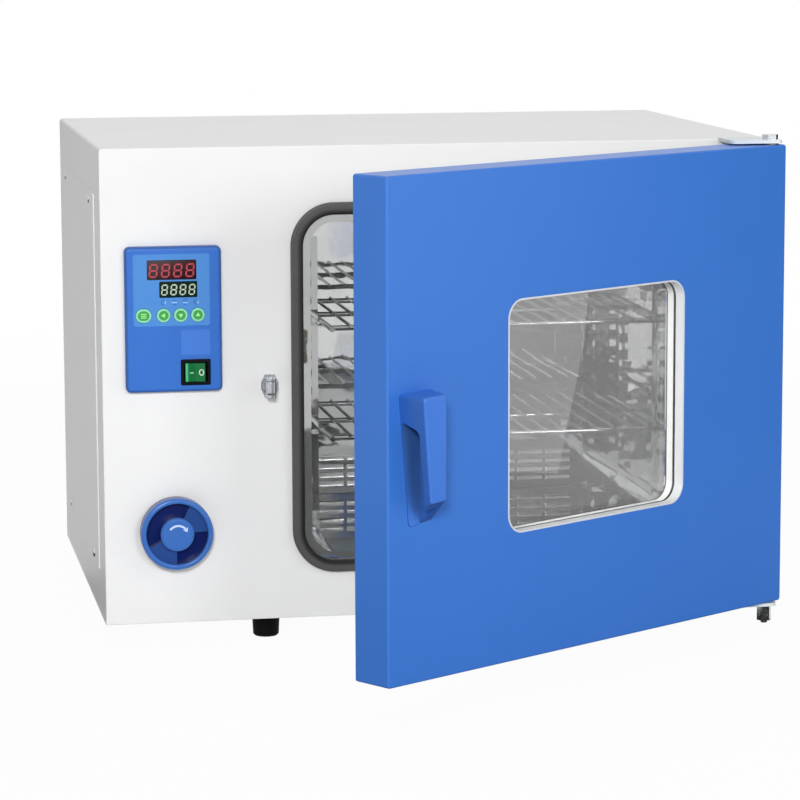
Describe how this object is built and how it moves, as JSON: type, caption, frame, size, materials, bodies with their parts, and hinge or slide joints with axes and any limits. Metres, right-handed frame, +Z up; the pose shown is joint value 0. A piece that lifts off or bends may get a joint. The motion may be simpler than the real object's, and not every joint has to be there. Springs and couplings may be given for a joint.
{
  "type": "forced-air drying oven",
  "caption": "Bench drying oven with a hinged glazed door, wire shelves in a polished chamber, a fan behind a louvred wall, a control panel, a rocker switch and an air damper knob.",
  "frame": {"origin": "centre of the cabinet's footprint on the bench, at the centre of the rectangle of its feet", "axes": "+Z up; the front faces -Y; +X to the right seen from the front"},
  "size_m": [0.6321, 0.8086, 0.464],
  "materials": {
    "white_enamel": "semi-gloss powder coat",
    "blue_enamel": "semi-gloss powder coat",
    "polished_stainless": "polished",
    "zinc_plate": "bright zinc",
    "trim_metal": "anodised",
    "gasket_silicone": "matt silicone",
    "black_rubber": "matt",
    "pane_glass": "clear",
    "white_plastic": "fine texture",
    "blue_plastic": "moulded",
    "light_blue_film": "printed film",
    "dark_display": "tinted window",
    "green_display": "tinted window",
    "green_plastic": "moulded",
    "black_plastic": "moulded",
    "circuit_board": "solder resist",
    "mineral_wool": "fibrous",
    "bush_brass": "turned",
    "motor_casting": "cast"
  },
  "bodies": {
    "cabinet": {"base_plate": "zinc_plate", "case_screws": "zinc_plate", "catch_fork": "zinc_plate", "chamber_liner": "polished_stainless", "control_bezel": "blue_plastic", "control_board": "circuit_board", "damper_bezel": "blue_plastic", "damper_duct": "zinc_plate", "display_overlay": "light_blue_film", "divider_panel": "zinc_plate", "door_gasket": "gasket_silicone", "exhaust_tube": "polished_stainless", "fan_motor": "motor_casting", "feet": "black_rubber", "front_fascia": "white_enamel", "green_display": "green_display", "heating_element": "polished_stainless", "hinge_brackets": "zinc_plate", "hinge_pins": "zinc_plate", "hinge_screws": "zinc_plate", "insulation": "mineral_wool", "left_access_cover": "white_enamel", "mains_gland": "black_plastic", "motor_plate": "zinc_plate", "outer_shell": "white_enamel", "power_board": "circuit_board", "rear_baffle": "polished_stainless", "rear_cover": "white_enamel", "red_display": "dark_display", "roller_pin": "zinc_plate", "shelf_clips": "polished_stainless", "shelf_strips": "polished_stainless", "switch_frame": "black_plastic", "temperature_probe": "polished_stainless"},
    "left_key": {"left_key": "green_plastic"},
    "down_key": {"down_key": "green_plastic"},
    "up_key": {"up_key": "green_plastic"},
    "menu_key": {"menu_key": "green_plastic"},
    "rocker": {"rocker": "green_plastic"},
    "damper": {"damper_knob": "blue_plastic", "damper_shaft": "zinc_plate", "damper_disc": "zinc_plate"},
    "fan": {"fan_shaft": "zinc_plate", "fan_wheel": "motor_casting"},
    "catch_roller": {"catch_roller": "white_plastic"},
    "lower_shelf": {"lower_shelf": "polished_stainless"},
    "upper_shelf": {"upper_shelf": "polished_stainless"},
    "door": {"door_outer_skin": "blue_enamel", "door_inner_panel": "polished_stainless", "hinge_blocks": "zinc_plate", "door_bushes": "bush_brass", "door_insulation": "mineral_wool", "window_trim": "trim_metal", "window_panes": "pane_glass", "glass_seals": "black_rubber", "window_frame": "white_plastic", "inner_retainer": "polished_stainless", "door_handle": "blue_plastic", "latch_clip": "zinc_plate", "door_screws": "zinc_plate"}
  },
  "joints": [
    {"name": "door_hinge", "type": "hinge", "parent": "cabinet", "child": "door", "pos_m": [0.303, -0.259, 0.241], "axis": [0, 0, 1], "range_deg": [-33.7, 86.3]},
    {"name": "left_key_press", "type": "slide", "parent": "cabinet", "child": "left_key", "axis": [0, 1, 0], "range_m": [0, 0.0005], "stiffness_N_per_m": 600},
    {"name": "down_key_press", "type": "slide", "parent": "cabinet", "child": "down_key", "axis": [0, 1, 0], "range_m": [0, 0.0005], "stiffness_N_per_m": 600},
    {"name": "up_key_press", "type": "slide", "parent": "cabinet", "child": "up_key", "axis": [0, 1, 0], "range_m": [0, 0.0005], "stiffness_N_per_m": 600},
    {"name": "menu_key_press", "type": "slide", "parent": "cabinet", "child": "menu_key", "axis": [0, 1, 0], "range_m": [0, 0.0005], "stiffness_N_per_m": 600},
    {"name": "rocker_tilt", "type": "hinge", "parent": "cabinet", "child": "rocker", "pos_m": [-0.228, -0.2306, 0.2545], "axis": [0, 0, 1], "range_deg": [0, 14]},
    {"name": "damper_turn", "type": "hinge", "parent": "cabinet", "child": "damper", "pos_m": [-0.2475, -0.225, 0.1062], "axis": [0, 1, 0], "range_deg": [0, 90]},
    {"name": "fan_spin", "type": "hinge", "parent": "cabinet", "child": "fan", "pos_m": [0.061, 0.115, 0.235], "axis": [0, 1, 0], "continuous": true},
    {"name": "roller_spin", "type": "hinge", "parent": "cabinet", "child": "catch_roller", "pos_m": [-0.1595, -0.238, 0.239], "axis": [0, 0, 1], "continuous": true},
    {"name": "lower_shelf_slide", "type": "slide", "parent": "cabinet", "child": "lower_shelf", "axis": [0, -1, 0], "range_m": [0, 0.07]},
    {"name": "upper_shelf_slide", "type": "slide", "parent": "cabinet", "child": "upper_shelf", "axis": [0, -1, 0], "range_m": [0, 0.07]}
  ]
}
